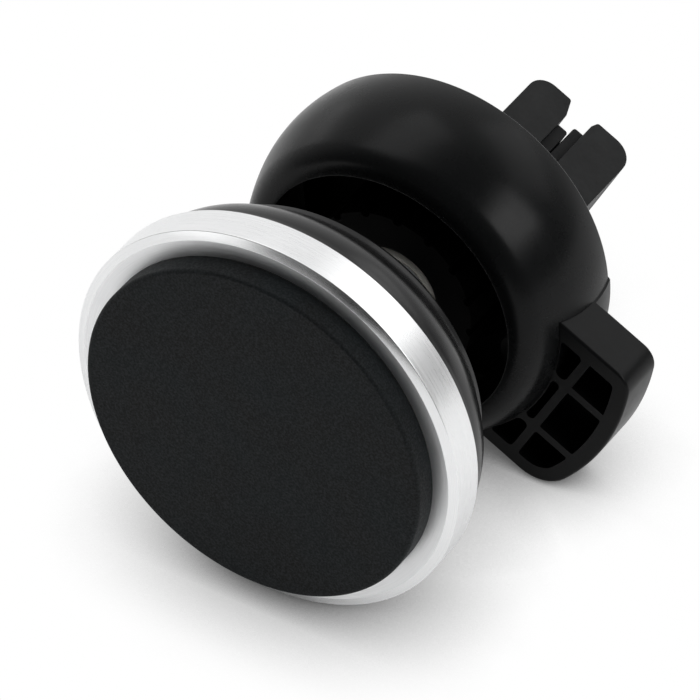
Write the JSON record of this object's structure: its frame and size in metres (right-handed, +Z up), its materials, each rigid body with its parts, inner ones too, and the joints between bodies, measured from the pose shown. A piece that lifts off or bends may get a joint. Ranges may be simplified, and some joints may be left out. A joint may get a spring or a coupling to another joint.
{
  "type": "magnetic vent phone mount",
  "caption": "Magnetic car vent phone holder: round rubber-faced head in a metal bezel on a ball joint, bell-shaped base with a ribbed support foot and a rubber-lined two-jaw louvre fork.",
  "frame": {"origin": "middle of the slot between the two rubber-lined jaws, half way along their grip", "axes": "+Y rearwards into the vent, +Z up away from the support foot, +X to the right seen from the driver; the pad faces -Y"},
  "size_m": [0.042, 0.0548, 0.0462],
  "materials": {
    "pad_rubber": "fine matte grain",
    "adhesive_film": "satin",
    "bezel_aluminium": "brushed band, bright cut edges",
    "inner_plastic": "moulded",
    "magnet_nickel": "plated",
    "plate_steel": "rolled",
    "shell_plastic": "satin gloss",
    "screw_steel": "zinc plated",
    "ball_steel": "polished",
    "liner_acetal": "moulded",
    "bell_plastic": "glossy",
    "plate_plastic": "moulded",
    "foot_plastic": "satin moulded",
    "jaw_plastic": "fine moulded texture",
    "liner_rubber": "matte"
  },
  "bodies": {
    "base": {"base_cup": "bell_plastic", "socket_housing": "inner_plastic", "collar_nut": "inner_plastic", "back_plate": "plate_plastic", "support_foot": "foot_plastic", "base_screws": "screw_steel", "clip_root": "plate_plastic", "clip_screws": "screw_steel"},
    "liner": {"ball_liner": "liner_acetal"},
    "ball": {"ball_stud": "ball_steel", "stud_washer": "screw_steel", "stud_nut": "screw_steel"},
    "head": {"grip_pad": "pad_rubber", "pad_adhesive": "adhesive_film", "bezel_ring": "bezel_aluminium", "magnet_carrier": "inner_plastic", "disc_magnets": "magnet_nickel", "flux_plate": "plate_steel", "head_shell": "shell_plastic", "head_screws": "screw_steel"},
    "upper_jaw": {"upper_jaw": "jaw_plastic", "upper_liner": "liner_rubber"},
    "lower_jaw": {"lower_jaw": "jaw_plastic", "lower_liner": "liner_rubber"}
  },
  "joints": [
    {"name": "head_tilt", "type": "hinge", "parent": "base", "child": "liner", "pos_m": [0, -0.0206, 0.00205], "axis": [1, 0, 0], "range_deg": [-25, 25]},
    {"name": "head_pan", "type": "hinge", "parent": "liner", "child": "ball", "pos_m": [0, -0.0206, 0.00205], "axis": [0, 0, 1], "range_deg": [-25, 25]},
    {"name": "head_spin", "type": "hinge", "parent": "ball", "child": "head", "pos_m": [0, -0.0206, 0.00205], "axis": [0, 1, 0], "continuous": true},
    {"name": "upper_jaw_flex", "type": "hinge", "parent": "base", "child": "upper_jaw", "pos_m": [0, -0.0081, 0.00363], "axis": [1, 0, 0], "range_deg": [0, 4], "stiffness_Nm_per_rad": 4},
    {"name": "lower_jaw_flex", "type": "hinge", "parent": "base", "child": "lower_jaw", "pos_m": [0, -0.0081, -0.0038], "axis": [1, 0, 0], "range_deg": [-4, 0], "stiffness_Nm_per_rad": 4}
  ]
}
